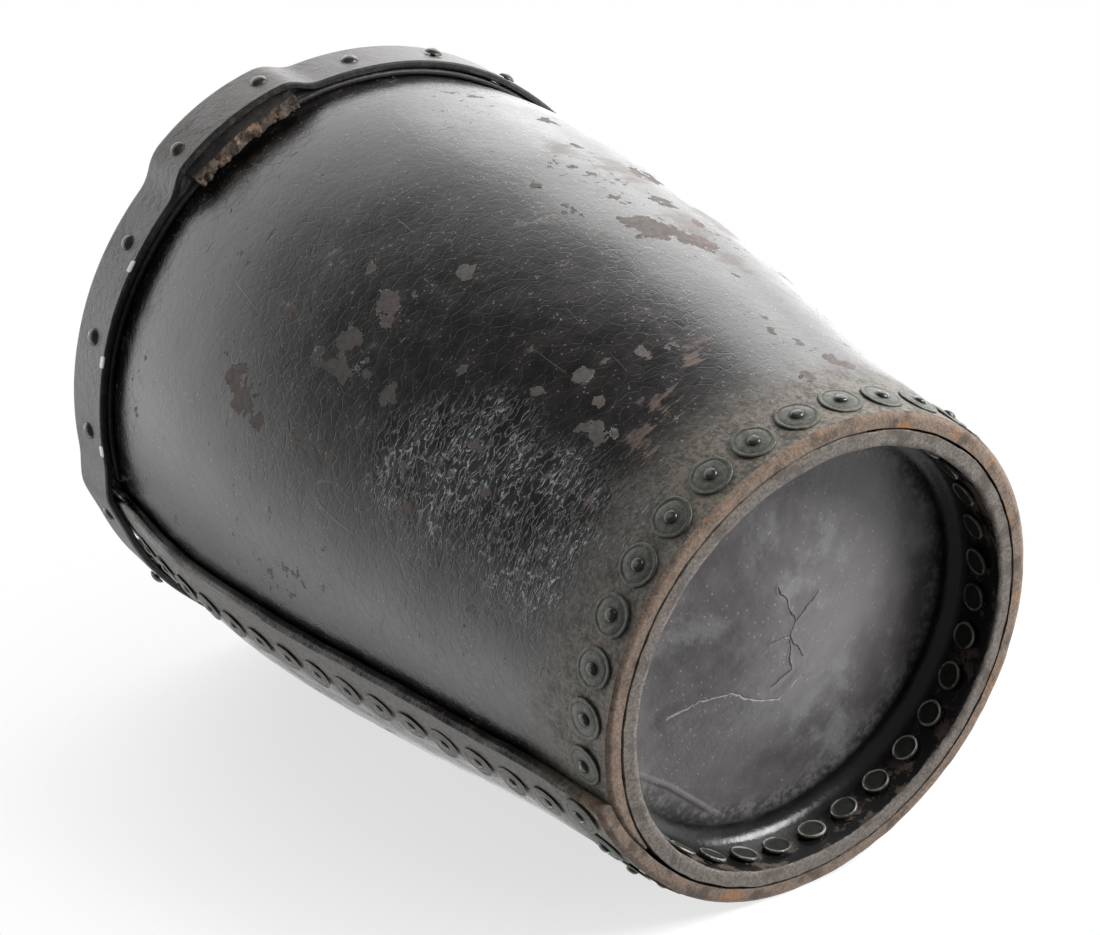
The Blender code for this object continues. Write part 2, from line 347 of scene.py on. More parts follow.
# %% Wall shape
RIM_RADIUS = 113 * MM
SWELL = 10.8 * MM
HIGH_SWELL = 44 * MM
WALL = 5.3 * MM
GAP = 0.3 * MM
SKIVED_EDGE = 0.9 * MM
FACET = math.radians(6)
BLANK_LENGTH = 0.69
SEAM_EDGE = math.radians(195)
LAP_FACETS = 3
BLEND_FACETS = 2
ROUND_FACETS = 60


def wall_radius(height):
    t = min(max(height, 0.0), STRIP_FOOT) / HEIGHT
    straight = FOOT_RADIUS + (RIM_RADIUS - FOOT_RADIUS) * t
    return straight + 4 * SWELL * t * (1 - t) + HIGH_SWELL * t * (1 - t) * (2 * t - 1)


def wall_slope(height):
    return math.atan((wall_radius(height + MM) - wall_radius(height - MM)) / (2 * MM))


def under_thickness(facets):
    t = min(max(facets / LAP_FACETS, 0.0), 1.0)
    return WALL + (SKIVED_EDGE - WALL) * t


def wall_lift(facets):
    if facets <= LAP_FACETS:
        return under_thickness(facets) + GAP
    return (SKIVED_EDGE + GAP) * (1 - min((facets - LAP_FACETS) / BLEND_FACETS, 1.0))


def facets_from_seam(azimuth):
    return ((SEAM_EDGE - azimuth) % (2 * math.pi)) / FACET


wall_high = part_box("body_wall")[1]
widest = max(wall_radius(height * MM) for height in range(300))
print("wall reaches +X", round(wall_high[0], 4), "and its formula", round(widest, 4))

# %% [markdown]
# No hide lies flat. A slow unevenness of half a millimetre or so breaks up every reflection, and since
# the wall, the dish and the strips are nested they all take it from one function of place.

# %% Unevenness
BROAD_SWING = 0.60 * MM
SMALL_SWING = 0.22 * MM


def relief(azimuth, height):
    place = round_at(azimuth, 0.1, height)
    broad = noise.noise(place * 12)
    small = noise.noise(place * 36 + Vector((7, 0, 0)))
    return BROAD_SWING * broad + SMALL_SWING * small


steps = [relief(math.radians(a), h * MM) for a in range(0, 360, 5) for h in range(0, 300, 10)]
print("unevenness from", round(min(steps) / MM, 2), "to", round(max(steps) / MM, 2), "mm")

# %% [markdown]
# ## Marks
# A mark is a place on the wall with a radius. The field below is 1 at the middle of the nearest mark
# and falls to 0 at its radius. The mesh carries it, and the finish breaks its outline up with noise.

# %% Marks on the wall
FLAKES = [  # azimuth in degrees, height and radius in millimetres
    (-109, 158, 4), (-115, 164, 3), (-114, 155, 3), (-115, 151, 3), (-112, 145, 3), (-128, 190, 5),
    (-125, 198, 4), (-130, 180, 3), (-111, 190, 3), (-127, 159, 3), (-100, 154, 4), (-103, 151, 3),
    (-97, 169, 2), (-101, 186, 2), (-113, 130, 3), (-128, 143, 2), (-87, 141, 3), (-90, 74, 3),
    (-92, 62, 2), (-97, 53, 4), (-98, 59, 2), (-112, 88, 2), (-118, 76, 2), (-123, 110, 2),
    (-102, 111, 2), (-129, 103, 2), (-97, 82, 2), (-55, 128, 4), (-52, 123, 7), (-43, 113, 5),
    (-47, 118, 5), (-52, 145, 3), (-35, 170, 5), (-41, 145, 4), (-38, 129, 3), (-43, 214, 3),
    (-45, 188, 2), (-53, 170, 2), (-63, 162, 2), (-73, 145, 2), (-63, 143, 3), (-52, 55, 2),
    (-49, 47, 2), (-45, 37, 3), (-42, 33, 3), (-57, 28, 3), (-35, 77, 2), (-45, 92, 2),
    (-78, 66, 3), (-20, 110, 4), (-5, 200, 5), (20, 90, 5), (44, 150, 4), (64, 210, 6),
    (100, 140, 6), (141, 60, 5), (160, 220, 4), (48, 40, 4), (75, 95, 3), (120, 190, 4)]
WORN = [(-41, 127, 20), (-41, 170, 22), (-50, 185, 14), (-41, 102, 16), (-28, 140, 24), (-12, 60, 16),
        (40, 160, 26), (122, 250, 18), (122, 60, 18), (150, 150, 22)]
SCUFFED = [(-93, 39, 11), (-85, 46, 11), (-72, 54, 10), (-105, 30, 9), (10, 30, 18), (90, 40, 22)]
MIDDLE_RADIUS = 108  # millimetres, to turn an angle into a distance along the wall
WRINKLED = [(-118, 50, 44), (-121, 100, 34), (-110, 84, 26), (-112, 26, 30), (60, 120, 60), (-20, 220, 40)]


def mark(spots, azimuth, height, spread=1.0):
    best = 0.0
    for spot_azimuth, spot_height, radius in spots:
        reach = radius * spread
        up = height / MM - spot_height
        if abs(up) < reach:
            turn = (azimuth - math.radians(spot_azimuth) + math.pi) % (2 * math.pi) - math.pi
            best = max(best, 1 - math.hypot(turn * MIDDLE_RADIUS, up) / reach)
    return best


print("marks:", len(FLAKES), "flakes,", len(WORN), "worn places,", len(WRINKLED), "wrinkled ones")

# %% [markdown]
# ## A thick sheet
# Wall, inner strip and tabs are all sheets with thickness. Each starts as a flat grid, is extruded, and
# has its cut edges divided so that they can be rounded. Then one function says where every point of the
# blank goes. It is given how far along, across and through the sheet the point lies, each from 0 to 1.

# %% Sheet maker
EDGE_ROUND = 1.0 * MM
LAYERS = 5
BLANK_UV = 0.66
BLACKED_ABOVE = 12 * MM  # the cut end of a sheet is varnished over from here up


def rounded(depth):
    """How far a cut edge draws back at this depth through the leather."""
    return EDGE_ROUND * (1 - math.sqrt(max(1 - abs(2 * depth - 1) ** 3, 0.0)))


def thick_sheet(columns, rows, put, fields=()):
    shape = bmesh.new()
    bmesh.ops.create_grid(shape, x_segments=columns, y_segments=rows, size=0.5)
    bmesh.ops.translate(shape, verts=shape.verts, vec=(0.5, 0.5, 0.0))
    outer = bmesh.ops.extrude_face_region(shape, geom=shape.faces[:])["geom"]
    outer = [part for part in outer if isinstance(part, bmesh.types.BMVert)]
    bmesh.ops.translate(shape, verts=outer, vec=(0.0, 0.0, 1.0))
    through = [edge for edge in shape.edges if abs(edge.verts[0].co.z - edge.verts[1].co.z) > 0.5]
    bmesh.ops.subdivide_edges(shape, edges=through, cuts=LAYERS - 1, use_grid_fill=True)
    bmesh.ops.recalc_face_normals(shape, faces=shape.faces)
    flat = shape.loops.layers.uv.new("blank")
    raw = shape.verts.layers.float.new("raw")
    layers = {name: shape.verts.layers.float.new(name) for name in fields}
    for face in shape.faces:
        for loop in face.loops:
            loop[flat].uv = (loop.vert.co.x * BLANK_UV, loop.vert.co.y * HEIGHT)
    for vert in shape.verts:
        along, across, through = vert.co
        on_edge = min(along, across, 1 - along, 1 - across) < 1e-5
        vert[raw] = (1.0 if 0.01 < through < 0.99 else 0.75) if on_edge else 0.0
        vert.co, values = put(along, across, through)
        if along < 1e-5 and vert.co.z > BLACKED_ABOVE:
            vert[raw] *= 0.25
        for name, value in values.items():
            vert[layers[name]] = value
    return shape


def end_inset(fraction, depth, length):
    """Draws the two ends of one direction of the blank back where the edge is rounded."""
    if fraction < 1e-5:
        return rounded(depth) / length
    if fraction > 1 - 1e-5:
        return -rounded(depth) / length
    return 0.0


print("edge draws back", [round(rounded(d / 5) / MM, 2) for d in range(6)], "mm through the sheet")

# %% [markdown]
# Every finished mesh goes through the same last step: it becomes an object at the origin, smooth except
# at real corners, and is tied to the imported model. A piece rides the one rigid body, and the plain
# solids it stands for are hidden.

# %% Finishing a piece
def finish_piece(name, shape, material, slot, *nodes):
    mesh = bpy.data.meshes.new(name)
    shape.to_mesh(mesh)
    shape.free()
    mesh.shade_smooth()
    mesh.set_sharp_from_angle(angle=math.radians(50))
    mesh.materials.append(material)
    piece = bpy.data.objects.new(name, mesh)
    bpy.context.collection.objects.link(piece)
    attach(piece, "root")
    if nodes:
        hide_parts(*nodes)
    return piece


# %% [markdown]
# ## Japanned leather
# Layers of black varnish over brown hide. Where the varnish has flaked the matt hide shows, on cut edges
# it has worn off, and the foot has gone dull and gritty from standing. The varnish itself is crazed and
# finely pebbled, with scratches and dust. Where the body was squeezed it is finely wrinkled, and there
# clusters of painted sheen lie over it, with painted pale glints along the crests of the wrinkles.

# %% Japanned leather
def japanned_leather():
    finish = Finish("japanned_leather")
    blank = finish.blank()
    height = finish.node("ShaderNodeSeparateXYZ", values={0: finish.place}, output="Z")
    fine = finish.cloud(420, 5, 0.62)
    medium = finish.cloud(110, 4, 0.6)
    broad = finish.cloud(28, 3, 0.55)
    fibre = finish.cloud(380, 4, 0.65, finish.stretched(blank, (0.25, 1.0, 1.0)))

    outline = (fine - 0.5) * 0.7 + (finish.cloud(190, 2, 0.5) - 0.5) * 1.5
    flake = (finish.attribute("flake") + outline).ease(0.47, 0.53)
    chips = (finish.cloud(230, 4, 0.6) + (broad - 0.5) * 0.7).ease(0.71, 0.75)
    flake = flake.most(chips * 0.8)
    raw = (finish.attribute("raw") + (fine - 0.5) * 0.9 + (medium - 0.5) * 0.5).ease(0.45, 0.75)
    worn = (finish.attribute("worn") * 1.1 + (fibre - 0.5) * 1.6).ease(0.35, 0.9)
    scuffed = (finish.attribute("scuffed") * 0.8 + (fibre - 0.5) * 2.6 + (medium - 0.5) * 1.6).ease(0.40, 0.75)
    foot = 1 - (height + (medium - 0.5) * 0.034 + (fine - 0.5) * 0.014).ease(0.014, 0.042)
    # The seam strip takes the foot's lighter worn brown: partly worn hide, partly painted sheen.
    lap = (finish.attribute("lap") + (fine - 0.5) * 0.9 + (medium - 0.5) * 1.4).ease(0.45, 0.95)
    foot = foot.most(lap * 0.75)
    dust = finish.specks(430, 0.19) * medium.ease(0.36, 0.60)
    scratch = finish.threads(30, 0.004, finish.stretched(blank, (1.0, 0.30, 1.0)), 0.0, 0.0)
    scratch = scratch * finish.cloud(40, 2, 0.5, blank).ease(0.55, 0.66)
    grit = finish.cloud(620, 4, 0.7)
    crease = finish.threads(600, 0.040, finish.stretched(blank, (0.28, 1.0, 1.0)), 3.0, 0.7)
    wrinkled = finish.attribute("wrinkled").ease(0.0, 0.6)
    # painted sheen: pale clusters over the wrinkled places stand in for light caught by the wrinkles
    painted_sheen = wrinkled * (finish.cloud(62, 3, 0.6) + (medium - 0.5) * 0.5).ease(0.37, 0.62)

    gritty = (grit * 0.6 + medium * 0.4).ease(0.38, 0.62)
    standing = finish.mix(gritty, (0.036, 0.031, 0.025, 1), (0.195, 0.172, 0.136, 1))
    torn = finish.mix(fine, (0.045, 0.030, 0.022, 1), (0.190, 0.120, 0.095, 1))
    varnish = finish.coats(
        finish.mix(medium.ease(0.35, 0.7), (0.0055, 0.0046, 0.0044, 1), (0.0150, 0.0122, 0.0114, 1)),
        (worn * 0.7, (0.050, 0.030, 0.026, 1)),
        (foot * 0.9, standing),
        (scuffed * 0.75, torn),
        # painted sheen over the wrinkled clusters, then painted pale glints on the wrinkle crests
        (painted_sheen * 0.5, grey(0.062, -0.03)),
        (crease * painted_sheen * fine.ease(0.46, 0.60), grey(0.50, -0.03)),
        (dust * 0.8, grey(0.17, 0.03)),
        (scratch * 0.45, grey(0.14, 0.05)))
    hide = finish.coats(
        finish.mix(broad.ease(0.4, 0.6), (0.110, 0.100, 0.090, 1), (0.140, 0.112, 0.102, 1)),
        (fine.ease(0.42, 0.62) * 0.5, (0.055, 0.045, 0.040, 1)),
        (worn * 0.6, (0.230, 0.155, 0.140, 1)))
    pile = finish.cloud(950, 4, 0.7)
    cut = finish.coats(
        finish.mix(pile.ease(0.25, 0.75), (0.110, 0.076, 0.055, 1), (0.265, 0.190, 0.140, 1)),
        (medium.ease(0.50, 0.66) * 0.75, (0.055, 0.038, 0.029, 1)),
        (finish.cloud(64, 4, 0.6).ease(0.60, 0.66) * 0.7, (0.330, 0.145, 0.050, 1)))
    colour = finish.coats(varnish, (flake * 0.85, hide), (raw, cut))

    dull = flake.most(raw).most(foot * 0.7).most(scuffed * 0.6).most(worn * 0.3)
    glossy = (0.22 + (medium - 0.5) * 0.25 + (broad - 0.5) * 0.15) * (1 - wrinkled * 0.4)
    roughness = glossy * (1 - dull) + dull * 0.78
    grain = finish.cloud(1300, 3, 0.6)
    height_mm = ((medium - 0.5) * 0.13 + (fine - 0.5) * 0.07 + (grain - 0.5) * 0.03
                 - finish.crackle(210, 0.05) * 0.025 + crease * wrinkled * 0.07
                 + (fibre - 0.5) * 0.35 * scuffed + (grit - 0.5) * 0.34 * raw.most(foot * 0.6)
                 - flake * 0.18 - scratch * 0.05)
    return finish.surface(colour, roughness, height_mm)


japanned = japanned_leather()
print("japanned leather:", len(japanned.node_tree.nodes), "nodes")

# %% [markdown]
# ## Wall
# The blank is divided finely enough for the lap, the pared under end and the rounded raw edges to be
# real shape. Rows are closer together at foot and rim, where the edges are. The outer end of the lap was
# cut by eye, so it wavers. At the foot only the outer half of the edge is rounded over, since the inner
# half is clamped against the dish.

# %% Wall
WALL_COLUMNS = 315
WALL_ROWS = 122
SLOW_WAVER = 0.16  # facets
QUICK_WAVER = 0.05
FRAY = 0.5 * MM
CLAMPED_SHARE = 0.45


def wall_place(along, across, through):
    along += end_inset(along, through, BLANK_LENGTH)
    facets = along * (ROUND_FACETS + LAP_FACETS)
    waver = SLOW_WAVER * noise.noise(Vector((across * 7, 3, 0)))
    waver += QUICK_WAVER * noise.noise(Vector((across * 30, 8, 0)))
    facets += waver * max(1 - facets / 2, 0.0)
    azimuth = SEAM_EDGE - facets * FACET
    height = HEIGHT * (across - 0.1 * math.sin(2 * math.pi * across))
    depth = max(through, CLAMPED_SHARE) if across < 0.5 else through
    height += HEIGHT * end_inset(across, depth, HEIGHT)
    height += (0.5 - across) * FRAY * (1 + noise.noise(round_at(azimuth, 0.1, through * 0.01) * 160))
    inner, thickness = wall_radius(height) - WALL, WALL
    if facets < ROUND_FACETS:
        inner += wall_lift(facets)
    else:
        thickness = under_thickness(facets - ROUND_FACETS)
    radius = inner + thickness * through + relief(azimuth, height)
    outside = 1.0 if through > 0.5 else 0.0
    return round_at(azimuth, radius, height), {
        "flake": mark(FLAKES, azimuth, height, 2.2) * outside,
        "worn": mark(WORN, azimuth, height),
        "scuffed": mark(SCUFFED, azimuth, height) * outside,
        "wrinkled": mark(WRINKLED, azimuth, height),
        "lap": outside * max(1 - abs(facets - 1.2) / 3.0, 0.0)}


wall = finish_piece("wall", thick_sheet(WALL_COLUMNS, WALL_ROWS, wall_place,
                                        ("flake", "worn", "scuffed", "wrinkled", "lap")),
                    japanned, "japanned_leather", "body_wall")
print("wall:", len(wall.data.polygons), "faces")

# %% [markdown]
# ## Turned shapes
# The dish, the outer strip, the rivets and the nails are all round, so each is half a section spun about
# an axis. Values laid on the section before the spin are copied to every point of the ring, which is how
# a finish can tell the flange from the panel, or a rivet's dome from its washer.

# %% Spinning a section
def spun(section, steps, fields=(), closed=False):
    """section holds (radius, height, {field: value}); it runs from axis to axis, or is a loop."""
    shape = bmesh.new()
    layers = {name: shape.verts.layers.float.new(name) for name in fields}
    line = []
    for radius, height, values in section:
        vert = shape.verts.new((radius, 0.0, height))
        for name, value in values.items():
            vert[layers[name]] = value
        line.append(vert)
    pairs = list(zip(line, line[1:])) + ([(line[-1], line[0])] if closed else [])
    edges = [shape.edges.new(pair) for pair in pairs]
    bmesh.ops.spin(shape, geom=line + edges, cent=(0, 0, 0), axis=(0, 0, 1),
                   angle=2 * math.pi, steps=steps, use_merge=True)
    bmesh.ops.remove_doubles(shape, verts=shape.verts, dist=1e-6)
    bmesh.ops.recalc_face_normals(shape, faces=shape.faces)
    return shape


def polar(point):
    return math.atan2(point.y, point.x), math.hypot(point.x, point.y)


print("sections can be spun")

# %% [markdown]
# ## Bottom leather
# The bottom is one disc of leather moulded into a dish. Its panel has dried and cracked: a star of
# splits at the middle, one long fissure with pale torn lips, and an old fold near the edge. Each is a
# chain of straight pieces, given here in millimetres. The finish measures the distance to them, after
# noise has pushed the point about a little for the star and the fissure.

# %% Cracks
STAR = [[(-1, -5), (3, -9), (4, -24)], [(3, -9), (16, -10)], [(-1, -5), (0, 6)], [(-1, -5), (-6, 7), (-15, 7)],
        [(-1, -5), (-8, -9)]]
FISSURE = [[(-49, -9), (-40, -7), (-33, -5), (-27, -1), (-21, 9), (-14, 16), (-3, 14)]]
FOLD_LINE = [[(-67, 2), (-60, 17), (-55, 32), (-50, 47)]]


def distance_to(finish, where, chains):
    nearest = None
    for chain in chains:
        for start, end in zip(chain, chain[1:]):
            start, end = (Vector((*corner, 0.0)) * MM for corner in (start, end))
            run = end - start
            offset = finish.vectors("SUBTRACT", where, start)
            share = finish.vectors("DOT_PRODUCT", offset, run / run.length_squared, output="Value")
            reached = finish.node("ShaderNodeVectorMath", {"operation": "SCALE"},
                                  {0: run, 3: share.most(0.0).least(1.0)})
            away = finish.vectors("DISTANCE", offset, reached, output="Value")
            nearest = nearest.least(away) if nearest else away
    return nearest


print("crack chains:", len(STAR) + len(FISSURE) + len(FOLD_LINE))

# %% Bottom leather
def bottom_leather():
    finish = Finish("bottom_leather")
    fine = finish.cloud(420, 5, 0.62)
    medium = finish.cloud(110, 4, 0.6)
    broad = finish.cloud(26, 3, 0.55)
    level = finish.vectors("MULTIPLY", finish.place, (1.0, 1.0, 0.0))
    push = finish.node("ShaderNodeTexNoise", values={"Vector": level, "Scale": 170.0, "Detail": 3.0}, output=1)
    push = finish.node("ShaderNodeVectorMath", {"operation": "MULTIPLY_ADD"},
                       {0: push, 1: (0.004, 0.004, 0.0), 2: (-0.002, -0.002, 0.0)})
    where = finish.vectors("ADD", level, push)
    panel = finish.attribute("panel")
    star = distance_to(finish, where, STAR)
    fissure = distance_to(finish, where, FISSURE)
    fold = distance_to(finish, level, FOLD_LINE)

    split = (1 - star.ease(0.0001, 0.0004)) * panel
    lips = (1 - star.ease(0.0003, 0.0018)) * panel
    torn = (1 - (fissure + (fine - 0.5) * 0.0016).ease(0.0001, 0.0006)) * panel
    around = (1 - fissure.ease(0.001, 0.006)) * panel
    crest = (1 - fold.ease(0.0002, 0.0016)) * panel
    dust = finish.specks(380, 0.20) * medium.ease(0.36, 0.58) * panel
    rubbed = finish.attribute("gutter") * (fine + medium * 0.6).ease(0.72, 0.95)
    scuffs = (finish.cloud(60, 5, 0.7) + (broad - 0.5) * 0.6).ease(0.54, 0.72) * panel
    flange = finish.attribute("flange")
    bare = (finish.cloud(110, 5, 0.72) + (broad - 0.5) * 0.6).ease(0.48, 0.56) * flange
    raw = (finish.attribute("raw") + (fine - 0.5) * 0.9).ease(0.45, 0.75)

    dry = finish.mix(medium.ease(0.2, 0.8), (0.086, 0.080, 0.083, 1), (0.136, 0.127, 0.133, 1))
    hide = finish.mix(fine, (0.050, 0.036, 0.030, 1), (0.150, 0.105, 0.085, 1))
    face = finish.coats(
        grey(0.008),
        (panel, dry),
        (scuffs * 0.5, grey(0.26, -0.01)),
        (crest * 0.6, grey(0.16, 0.02)),
        (around * 0.35, grey(0.10, 0.04)),
        (torn * 0.9, grey(0.42, 0.05)),
        (dust * 0.6, grey(0.30, 0.02)),
        (rubbed * 0.7, grey(0.22, 0.03)),
        (split * 0.9, (0.020, 0.009, 0.006, 1)),
        (bare * 0.8, hide))
    pile = finish.cloud(950, 4, 0.7)
    cut = finish.mix(pile.ease(0.25, 0.75), (0.066, 0.056, 0.048, 1), (0.220, 0.192, 0.168, 1))
    cut = finish.mix(medium.ease(0.50, 0.64) * 0.7, cut, (0.070, 0.054, 0.043, 1))
    colour = finish.mix(raw, face, cut)

    dull = raw.most(bare * 0.8).most(torn).most(scuffs * 0.35)
    glossy = 0.27 + panel * 0.12 + (medium - 0.5) * 0.3 + (broad - 0.5) * 0.2
    roughness = glossy * (1 - dull) + dull * 0.8
    height_mm = ((broad - 0.5) * 0.5 * panel + (medium - 0.5) * 0.20 + (fine - 0.5) * 0.12
                 + lips * 0.08 - split * 0.35 + around * 0.25 - torn * 0.3 + crest * 0.22 + dust * 0.05
                 - bare * 0.15)
    return finish.surface(colour, roughness, height_mm)


bottom = bottom_leather()
print("bottom leather:", len(bottom.node_tree.nodes), "nodes")

# %% [markdown]
# ## Dish
# Panel, fold and flange are one section. Both of its faces follow the same path, the upper one a
# thickness of leather outside the lower. The cut edge at the foot is frayed, and the seam between it and
# the wall has opened unevenly.

# %% Dish
DISH_LEATHER = 5.7 * MM
FOLD_HEIGHT = 16.8 * MM
FOLD_RADIUS = 6.5 * MM
DOME = 8 * MM
PANEL_STEPS = 34
FOLD_STEPS = 9
DISH_STEPS = 200
PANEL_SAG = 1.3 * MM
DISH_FRAY = 0.25 * MM
SEAM_OPENING = 0.45 * MM


def dish_face(fold_radius, fold_centre, foot_radius, panel):
    """Points from the middle of one face out over the fold and down to just above the ground."""
    face = []
    for step in range(PANEL_STEPS):
        part = step / PANEL_STEPS
        drop = DOME * 0.5 * (1 + math.cos(math.pi * part))
        tone = panel * min((1 - part) * 8, 1.0)
        rub = panel * max(1 - abs(part - 0.93) / 0.07, 0.0)
        face.append((fold_centre * part, FOLD_HEIGHT + fold_radius - drop, {"panel": tone, "gutter": rub}))
    for step in range(FOLD_STEPS):
        angle = math.radians(90 * (1 - step / (FOLD_STEPS - 1)))
        turned = fold_centre + fold_radius * math.cos(angle)
        face.append((turned, FOLD_HEIGHT + fold_radius * math.sin(angle), {}))
    for part, bare in ((0.3, 1.0), (0.6, 1.0), (0.85, 1.0), (0.95, 0.8)):
        face.append((turned + (foot_radius - turned) * part, FOLD_HEIGHT * (1 - part),
                     {"flange": bare, "raw": 0.6 if part > 0.9 else 0.0}))
    return face


def dish_section():
    outer_fold = FOLD_RADIUS + DISH_LEATHER
    fold_centre = wall_radius(FOLD_HEIGHT) - WALL - GAP - outer_fold
    foot = wall_radius(0.0) - WALL - GAP
    upper = dish_face(outer_fold, fold_centre, foot, 0.0)
    lower = dish_face(FOLD_RADIUS, fold_centre, foot - DISH_LEATHER, 1.0)
    ground = [(foot - DISH_LEATHER * share, 0.0, {"raw": 1.0}) for share in (0.04, 0.37, 0.63, 0.88)]
    return upper + ground + lower[::-1]


shape = spun(dish_section(), DISH_STEPS, ("panel", "flange", "raw", "gutter"))
for vert in shape.verts:
    azimuth, radius = polar(vert.co)
    height = vert.co.z
    near_wall = min(max((radius - 0.055) / 0.018, 0.0), 1.0)
    radius += relief(azimuth, height) * near_wall
    sag = noise.noise(vert.co * 22) * PANEL_SAG * (1 - near_wall) if radius > 1e-5 else 0.0
    frayed = DISH_FRAY * (1 + noise.noise(vert.co * 300)) if height < 0.1 * MM else 0.0
    if height < 3 * MM and radius > 0.07:
        radius -= SEAM_OPENING * (1 + noise.noise(vert.co * 130))
    vert.co = round_at(azimuth, radius, height + sag + frayed)
dish = finish_piece("dish", shape, bottom, "bottom_leather", "bottom_dish")
print("dish:", len(dish.data.polygons), "faces, panel about", round(FOLD_HEIGHT / MM), "mm off the ground")

# %% [markdown]
# ## Iron
# A rivet here is a shank with a washer, the rove, slipped over its end and the end hammered down on it.
# The roves are dull and greenish, the hammered ends are black and shiny, and some edges are rubbed bright.
# Up the seam the roves have been varnished over with the leather.

# %% Blackened iron
def blackened_iron(name, dark, light, gloss):
    finish = Finish(name)
    fine = finish.cloud(900, 5, 0.65)
    medium = finish.cloud(240, 3, 0.6)
    dome = finish.attribute("dome")
    groove = finish.attribute("groove")
    patchy = (finish.cloud(130, 2, 0.5) - 0.5) * 2.8 + (fine - 0.5) * 0.6
    rubbed = (finish.attribute("rubbed") + patchy).ease(0.62, 0.92)
    rust = (medium + (fine - 0.5) * 0.3).ease(0.60, 0.68)
    colour = finish.coats(
        finish.mix(fine.ease(0.35, 0.65), dark, light),
        (rust * 0.55, (0.050, 0.034, 0.024, 1)),
        (dome * 0.85, grey(0.030, 0.02)),
        (groove * 0.85, grey(0.010)),
        (rubbed * 0.8, (0.34, 0.33, 0.30, 1)))
    roughness = gloss + (medium - 0.5) * 0.3 - dome * 0.32 + groove * 0.2
    height_mm = (medium - 0.5) * 0.22 + (fine - 0.5) * 0.10 - rust * 0.05
    return finish.surface(colour, roughness, height_mm, metallic=0.35)


iron = blackened_iron("blackened_iron", (0.055, 0.057, 0.047, 1), (0.108, 0.110, 0.092, 1), 0.50)
varnished = blackened_iron("varnished_iron", (0.040, 0.035, 0.032, 1), (0.090, 0.080, 0.072, 1), 0.36)
print("iron finishes:", iron.name, "and", varnished.name)

# %% [markdown]
# ## Rivets
# A rivet is drawn once as a half section and made 47 times. Each one takes its own leather thickness,
# its own small squashing and tilt, and stands square to the leather where it sits.

# %% Rivet section
RIVET_SHANK = 1.9
INSIDE_HEAD = [(0.0, 0.9, "groove", 1.0), (2.6, 0.9, "groove", 1.0), (3.9, 0.8, "groove", 1.0),
               (4.15, 1.05, "rubbed", 0.75), (4.65, 1.1, "rubbed", 0.95), (5.0, 0.7, "rubbed", 0.4),
               (4.9, 0.0, "groove", 1.0)]
OUTSIDE = [(6.85, -0.05, "groove", 1.0), (7.0, 0.15, "groove", 0.8), (7.0, 0.55, "groove", 0.6),
           (6.85, 0.85, "rubbed", 0.12), (6.55, 0.97, "rubbed", 0.1), (6.0, 0.97, "dome", 0.0),
           (5.75, 0.86, "groove", 0.5), (5.4, 0.86, "groove", 0.3), (5.15, 1.0, "dome", 0.0),
           (3.6, 1.12, "dome", 0.0), (2.35, 1.15, "groove", 0.5), (2.2, 1.2, "groove", 0.9),
           (2.2, 1.6, "dome", 1.0), (1.95, 2.05, "dome", 1.0), (1.4, 2.4, "dome", 1.0),
           (0.7, 2.58, "rubbed", 0.35), (0.0, 2.6, "rubbed", 0.35)]
IRON_FIELDS = ("dome", "groove", "rubbed")


def iron_section(grip, inside, shank, outside, scale=1.0):
    """Sizes in millimetres; the seat under the outer disc is at height 0."""
    section = [(radius, -grip - height, field, value) for radius, height, field, value in inside]
    section += [(shank, -grip, "groove", 1.0), (shank, 0.0, "groove", 1.0)]
    section += [(radius * scale, height, field, value) for radius, height, field, value in outside]
    return [(radius * MM, height * MM, {field: value}) for radius, height, field, value in section]


def seat_frame(azimuth, height, radius, slope, sideways=0.0):
    """Local +Z points out of the leather."""
    outward = round_at(azimuth + sideways, math.cos(slope), -math.sin(slope))
    turn = outward.to_track_quat("Z", "X").to_matrix().to_4x4()
    return Matrix.Translation(round_at(azimuth, radius, height)) @ turn


def lap_seat(azimuth):
    """Lift of the leather at a rivet, and half its sideways tilt there."""
    facets = facets_from_seam(azimuth)
    if facets > LAP_FACETS + BLEND_FACETS:
        return 0.0, 0.0
    near = max(facets - 0.5, 0.0)
    fall = (wall_lift(near) - wall_lift(near + 1.0)) / (FACET * wall_radius(HEIGHT / 2))
    return wall_lift(facets), -0.5 * math.atan(fall)


print("rivet section:", len(INSIDE_HEAD) + len(OUTSIDE), "points")

# %% Rivets
chance = random.Random(7)
FOOT_RIVETS = 32
FOOT_START = 201.5
FOOT_ROW = 10.5 * MM
FOOT_FLATNESS = 0.78
SEAM_RIVETS = 15
SEAM_LINE = 186
SEAM_START = 30.6
SEAM_STEP = 16.6
SEAM_FLATNESS = 0.45
ROVE = 7.0
SEAM_ROVE = 6.5
PEEN = 2.4 * MM
SUNK = 0.3 * MM  # the leather has swollen up round every washer
RIVET_STEPS = 36


